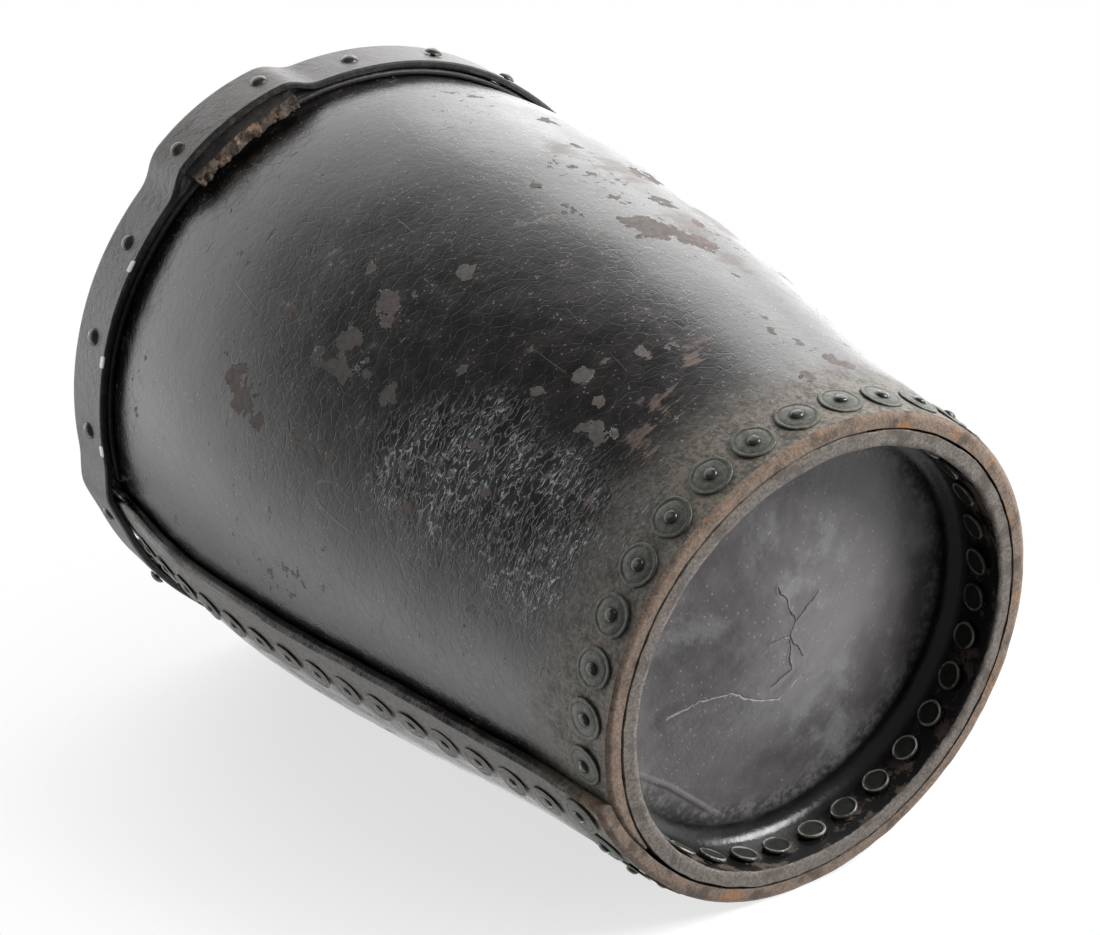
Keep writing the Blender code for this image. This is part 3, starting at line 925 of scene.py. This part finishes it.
def rivet(name, node, azimuth, height, leather, rove, flatness, finish):
    lift, sideways = lap_seat(azimuth)
    slope = wall_slope(height)
    tilt = abs(math.sin(sideways))
    above = GAP + ROVE * MM * tilt * 1.3
    below = 2 * GAP + 5 * MM * tilt * 1.3
    grip = (leather + lift) * math.cos(slope) + above + below
    seat = wall_radius(height) + lift + relief(azimuth, height)
    section = iron_section(grip / MM, INSIDE_HEAD, RIVET_SHANK, OUTSIDE, rove / ROVE)
    shape = spun(section, RIVET_STEPS, IRON_FIELDS)
    seed = Vector((chance.random(), chance.random(), chance.random())) * 20
    squash = 1 + chance.uniform(-0.03, 0.03)
    off = Vector((chance.uniform(-0.4, 0.4), chance.uniform(-0.4, 0.4), 0.0)) * MM
    for vert in shape.verts:
        dent = noise.noise(vert.co * 320 + seed)
        out = math.hypot(vert.co.x, vert.co.y)
        vert.co.x *= squash * (1 + 0.035 * dent)
        vert.co.y *= (1 + 0.035 * dent) / squash
        if vert.co.z > 0:
            vert.co.z *= flatness
        if vert.co.z > 0.3 * MM:
            vert.co.z += 0.16 * MM * dent
        if vert.co.z > 1.12 * MM * flatness and out < PEEN:
            vert.co += off
    place = seat_frame(azimuth, height, seat, slope, sideways) @ Matrix.Translation((0, 0, above - SUNK))
    lean = Matrix.Rotation(math.radians(chance.uniform(-2.0, 2.0)), 4, "X")
    shape.transform(place @ lean @ Matrix.Rotation(chance.uniform(0, 6.28), 4, "Z"))
    return finish_piece(name, shape, finish, "blackened_iron", node)


for index in range(FOOT_RIVETS):
    azimuth = math.radians(FOOT_START) + index * 2 * math.pi / FOOT_RIVETS
    rivet(f"foot_rove_{index + 1:02d}", f"foot_rivet_{index + 1:02d}", azimuth, FOOT_ROW,
          WALL + DISH_LEATHER + GAP, ROVE, FOOT_FLATNESS, iron)
for index in range(SEAM_RIVETS):
    rivet(f"seam_rove_{index + 1:02d}", f"seam_rivet_{index + 1:02d}", math.radians(SEAM_LINE),
          (SEAM_START + SEAM_STEP * index) * MM, WALL, SEAM_ROVE, SEAM_FLATNESS, varnished)
print("rivets:", FOOT_RIVETS, "round the foot and", SEAM_RIVETS, "up the seam")

# %% [markdown]
# ## Rim strips
# Two strips ring the rim. The inner one stops either side of the seam. The outer one runs all the way
# round, climbs over the lap and steps out over the stub of each strap tab. Their faces are worn to a
# satin grey and their cut edges are black.

# %% Strip leather
def strip_leather():
    finish = Finish("strip_leather")
    fine = finish.cloud(420, 5, 0.62)
    medium = finish.cloud(100, 4, 0.6)
    broad = finish.cloud(30, 3, 0.55)
    edge = (finish.attribute("raw") + (fine - 0.5) * 0.5).ease(0.30, 0.60)
    chips = (finish.cloud(210, 4, 0.6) + (broad - 0.5) * 0.6).ease(0.66, 0.71)
    painted_light_slit = finish.attribute("painted_light_slit").ease(0.4, 0.6)
    stain = finish.attribute("stain").ease(0.1, 0.9) * medium.ease(0.3, 0.6)
    colour = finish.coats(
        finish.mix(medium.ease(0.3, 0.7), (0.042, 0.038, 0.037, 1), (0.110, 0.104, 0.102, 1)),
        (chips * 0.7, grey(0.17, 0.08)),
        (stain * 0.8, (0.050, 0.030, 0.020, 1)),
        (edge, finish.mix(fine.ease(0.45, 0.7), grey(0.006), grey(0.030, 0.1))),
        # painted light: near-white slits where light shows through under the strip's edge
        (painted_light_slit, grey(0.85)))
    roughness = 0.42 + (medium - 0.5) * 0.3 + edge * 0.15 + chips * 0.2
    height_mm = ((medium - 0.5) * 0.34 + (fine - 0.5) * 0.22 - finish.crackle(160, 0.04) * 0.06
                 - chips * 0.12)
    return finish.surface(colour, roughness, height_mm)


strip = strip_leather()
print("strip leather:", len(strip.node_tree.nodes), "nodes")

# %% Where the strips run
LINER = 2.4 * MM
BAND = 2.9 * MM
STRIP_GAP = 0.4 * MM
STAND_OFF = 0.3 * MM
TAB = 5.0 * MM
TAB_FOOT = 270 * MM
LINER_RADIUS = wall_radius(STRIP_FOOT) + STAND_OFF
BAND_RADIUS = LINER_RADIUS + LINER + STRIP_GAP
TAB_AZIMUTHS = {"front": -90, "back": 90}
TAB_HALF_ANGLE = 11.4
STEP_END = 16.5
STEP_WIDTH = 4.5
CROWN_HALF_ANGLE = 12
CROWN = 0.9 * MM


def near_lap(azimuth):
    return facets_from_seam(azimuth) < LAP_FACETS + BLEND_FACETS


def liner_lift(azimuth):
    return wall_lift(max(facets_from_seam(azimuth), LAP_FACETS)) if near_lap(azimuth) else 0.0


def sharp_band_lift(azimuth):
    for middle in TAB_AZIMUTHS.values():
        away = abs((math.degrees(azimuth) - middle + 180) % 360 - 180)
        if away < STEP_END:
            crown = CROWN * max(1 - (away / CROWN_HALF_ANGLE) ** 2, 0.0)
            return (TAB + STRIP_GAP) * min((STEP_END - away) / STEP_WIDTH, 1.0) + crown
    before = facets_from_seam(azimuth)
    over_edge = wall_lift(0.0) - STAND_OFF - LINER
    if ROUND_FACETS - before < 1.0:
        return over_edge * (1.0 - (ROUND_FACETS - before))
    if before < LAP_FACETS:
        return max(wall_lift(before) - STAND_OFF - LINER, wall_lift(LAP_FACETS))
    return liner_lift(azimuth)


def band_lift(azimuth):
    """The same path with its corners eased, since leather bends and does not fold there."""
    return sum(sharp_band_lift(azimuth + math.radians(turn)) for turn in (-1.4, -0.7, 0, 0.7, 1.4)) / 5


def strip_wave(azimuth, height, where):
    """Cut edges wander a little up and down."""
    return 0.5 * MM * noise.noise(round_at(azimuth, 0.1, where) * 26) * (1 if height < 0.29 else -0.6)


print("band stands", round((BAND_RADIUS + BAND) / MM, 1), "mm from the axis")

# %% Inner strip
LINER_START = 18
LINER_TURN = 339
LINER_COLUMNS = 340


def liner_place(along, across, through):
    along += end_inset(along, through, BLANK_LENGTH)
    azimuth = SEAM_EDGE - math.radians(LINER_START + along * LINER_TURN)
    height = STRIP_FOOT + across * (HEIGHT - STRIP_FOOT) + (HEIGHT - STRIP_FOOT) * end_inset(
        across, through, HEIGHT - STRIP_FOOT)
    radius = LINER_RADIUS + LINER * through + liner_lift(azimuth) + relief(azimuth, height)
    return round_at(azimuth, radius, height + strip_wave(azimuth, height, 0.3)), {}


liner = finish_piece("inner_strip", thick_sheet(LINER_COLUMNS, 10, liner_place), strip, "strip_leather",
                     "rim_liner")
print("inner strip:", len(liner.data.polygons), "faces")

# %% Outer strip
NAILS = 20
NAIL_HEIGHT = 288.5 * MM
FIRST_NAIL = -81
nail_azimuths = [math.radians(FIRST_NAIL + 360 / NAILS * index) for index in range(NAILS)]
BAND_STEPS = 480
CORNER = 0.7 * MM
STAIN_REACH = 7 * MM
PULL = 0.35 * MM  # how far a nail draws the leather in
PULL_REACH = 9 * MM
FLARE = 0.5 * MM
PAINTED_LIGHT_SLITS = (-120, -138, -155)  # painted light: near-white slits where light shows through the gap under the edge
BAND_OUTLINE = [  # share of the thickness, share of the height, how much of a cut edge
    (0, 0, .6), (0, .5, 0), (0, 1, .3), (.25, 1, 1), (.75, 1, 1), (1, 1, .5),
    (1, .94, 0), (1, .8, 0), (1, .65, 0), (1, .5, 0), (1, .35, 0), (1, .2, 0), (1, .06, 0),
    (1, 0, .6), (.8, 0, 1), (.5, 0, 1), (.2, 0, 1)]
band_section = []
for share, height, edge in BAND_OUTLINE:
    rise = height * (HEIGHT - STRIP_FOOT)
    if share in (0, 1) and height in (0, 1):
        rise += CORNER if height == 0 else -CORNER
    band_section.append((BAND_RADIUS + BAND * share, STRIP_FOOT + rise, {"raw": edge}))
shape = spun(band_section, BAND_STEPS, ("raw", "stain", "painted_light_slit"), closed=True)
stain = shape.verts.layers.float["stain"]
painted_light_slit = shape.verts.layers.float["painted_light_slit"]
for vert in shape.verts:
    azimuth, radius = polar(vert.co)
    height = vert.co.z
    away = min(math.hypot(((azimuth - nail + math.pi) % (2 * math.pi) - math.pi) * radius, height - NAIL_HEIGHT)
               for nail in nail_azimuths)
    over_tab = min(abs((math.degrees(azimuth) - middle + 180) % 360 - 180) for middle in TAB_AZIMUTHS.values())
    vert[stain] = max(1 - away / STAIN_REACH, 0.6 * (over_tab < 13), 0.0)
    # painted light slits: a thin band on the lower face beside three nails
    if 1.5 * MM > height - STRIP_FOOT > 0.3 * MM and radius > BAND_RADIUS + BAND / 2:
        vert[painted_light_slit] = max(1.0 if abs(math.degrees(azimuth) - place) < 1.1 else 0.0 for place in PAINTED_LIGHT_SLITS)
    pull = PULL * max(1 - away / PULL_REACH, 0.0)
    flare = FLARE * noise.noise(round_at(azimuth, 0.1, 0.9) * 24) * max(0.29 - height, 0.0) / 0.013
    radius += band_lift(azimuth) + relief(azimuth, height) + flare - pull * (radius > BAND_RADIUS + BAND / 2)
    vert.co = round_at(azimuth, radius, height + strip_wave(azimuth, height, 0.6))
band = finish_piece("outer_strip", shape, strip, "strip_leather", "rim_band")
print("outer strip:", len(band.data.polygons), "faces")

# %% [markdown]
# ## Strap tabs
# Only the nailed ends of the strap are left, torn across just below the strip. Torn hide is layered
# and fibrous, brown and tan inside with black on its face.

# %% Raw leather
def raw_leather():
    finish = Finish("raw_leather")
    fine = finish.cloud(520, 5, 0.65)
    medium = finish.cloud(170, 4, 0.6)
    ply = finish.cloud(700, 4, 0.6, finish.stretched(finish.place, (0.3, 0.3, 1.0)))
    torn = (finish.attribute("raw") + (medium - 0.5) * 0.9).ease(0.35, 0.7)
    tan = (medium + (fine - 0.5) * 0.7).ease(0.50, 0.66) * finish.attribute("middle")
    face = finish.mix(medium.ease(0.35, 0.65), grey(0.018, 0.05), (0.060, 0.050, 0.044, 1))
    inside = finish.mix(ply.ease(0.4, 0.6), (0.022, 0.016, 0.012, 1), (0.095, 0.066, 0.046, 1))
    inside = finish.mix(tan * 0.75, inside, (0.330, 0.190, 0.105, 1))
    colour = finish.mix(torn, face, inside)
    height_mm = (medium - 0.5) * 0.5 + (ply - 0.5) * 0.7 + (fine - 0.5) * 0.35
    return finish.surface(colour, 0.78 + (fine - 0.5) * 0.2, height_mm)


torn_hide = raw_leather()
print("raw leather:", len(torn_hide.node_tree.nodes), "nodes")

# %% Tabs
def tab(side):
    middle = math.radians(TAB_AZIMUTHS[side])

    def put(along, across, through):
        azimuth = middle + math.radians(TAB_HALF_ANGLE) * (2 * along - 1)
        tear = 1.6 * noise.noise(Vector((along * 9, through * 2.5, 4)))
        tear += 1.3 * noise.noise(Vector((along * 30, through * 5, 9)))
        foot = TAB_FOOT + (tear + 0.6) * MM + 1.2 * MM * through
        height = foot + (HEIGHT - foot) * across
        ragged = 0.22 * MM * noise.noise(Vector((along * 22, across * 14, through * 3)))
        radius = BAND_RADIUS + TAB * (0.04 + 0.92 * through) + relief(azimuth, height)
        below = max(1 - (height - TAB_FOOT) / (9 * MM), 0.0)
        middle_share = max(1 - abs(along - 0.5) / 0.42, 0.0)
        return round_at(azimuth, radius + ragged * below, height), {"middle": middle_share}

    shape = thick_sheet(60, 36, put, ("middle",))
    return finish_piece(f"torn_tab_{side}", shape, torn_hide, "raw_leather", f"strap_tab_{side}")


for side in TAB_AZIMUTHS:
    tab(side)
print("tabs:", list(TAB_AZIMUTHS))

# %% [markdown]
# ## Nails
# Twenty small domed nails hold the strips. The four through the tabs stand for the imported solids; the
# others are too small to carry load and exist only here. A few have worked loose and stand proud.

# %% Nails
CLENCH = [(0.0, 1.0, "dome", 1.0), (1.6, 0.9, "dome", 1.0), (2.6, 0.5, "dome", 0.6), (2.8, 0.1, "groove", 0.6)]
NAIL_HEAD = [(3.3, -0.15, "groove", 1.0), (3.45, 0.1, "groove", 0.4), (3.1, 0.65, "dome", 1.0),
             (2.4, 1.15, "dome", 1.0), (1.5, 1.5, "dome", 1.0), (0.7, 1.65, "rubbed", 0.2),
             (0.0, 1.7, "rubbed", 0.2)]
PROUD = {-45: 1.0, -27: 0.7, 171: 1.1}  # azimuth in degrees, and millimetres
NAIL_SHANK = 1.1
NAIL_STEPS = 24


def nail(name, azimuth, node=None):
    degrees = round(math.degrees(azimuth) + 180) % 360 - 180
    proud = PROUD.get(degrees, 0.0) * MM
    seat = BAND_RADIUS + BAND + band_lift(azimuth) + relief(azimuth, NAIL_HEIGHT) - 0.2 * MM + proud
    inside = wall_radius(NAIL_HEIGHT) - WALL - 0.6 * MM + relief(azimuth, NAIL_HEIGHT)
    if near_lap(azimuth):
        inside = min(inside, seat - 12 * MM)
    section = iron_section((seat - inside) / MM, CLENCH, NAIL_SHANK, NAIL_HEAD, chance.uniform(0.92, 1.06))
    shape = spun(section, NAIL_STEPS, IRON_FIELDS)
    lean = Matrix.Rotation(math.radians(chance.uniform(-3, 3)), 4, "Y")
    shape.transform(seat_frame(azimuth, NAIL_HEIGHT + chance.uniform(-0.5, 0.5) * MM, seat, 0.0) @ lean)
    return finish_piece(name, shape, iron, "blackened_iron", *([node] if node else []))


TAB_NAILS = {-99: "tab_nail_front_1", -81: "tab_nail_front_2", 81: "tab_nail_back_1", 99: "tab_nail_back_2"}
for index, azimuth in enumerate(nail_azimuths):
    degrees = round(math.degrees(azimuth) + 180) % 360 - 180
    nail(f"rim_nail_{index + 1:02d}", azimuth, TAB_NAILS.get(degrees))
print("nails:", len(nail_azimuths))
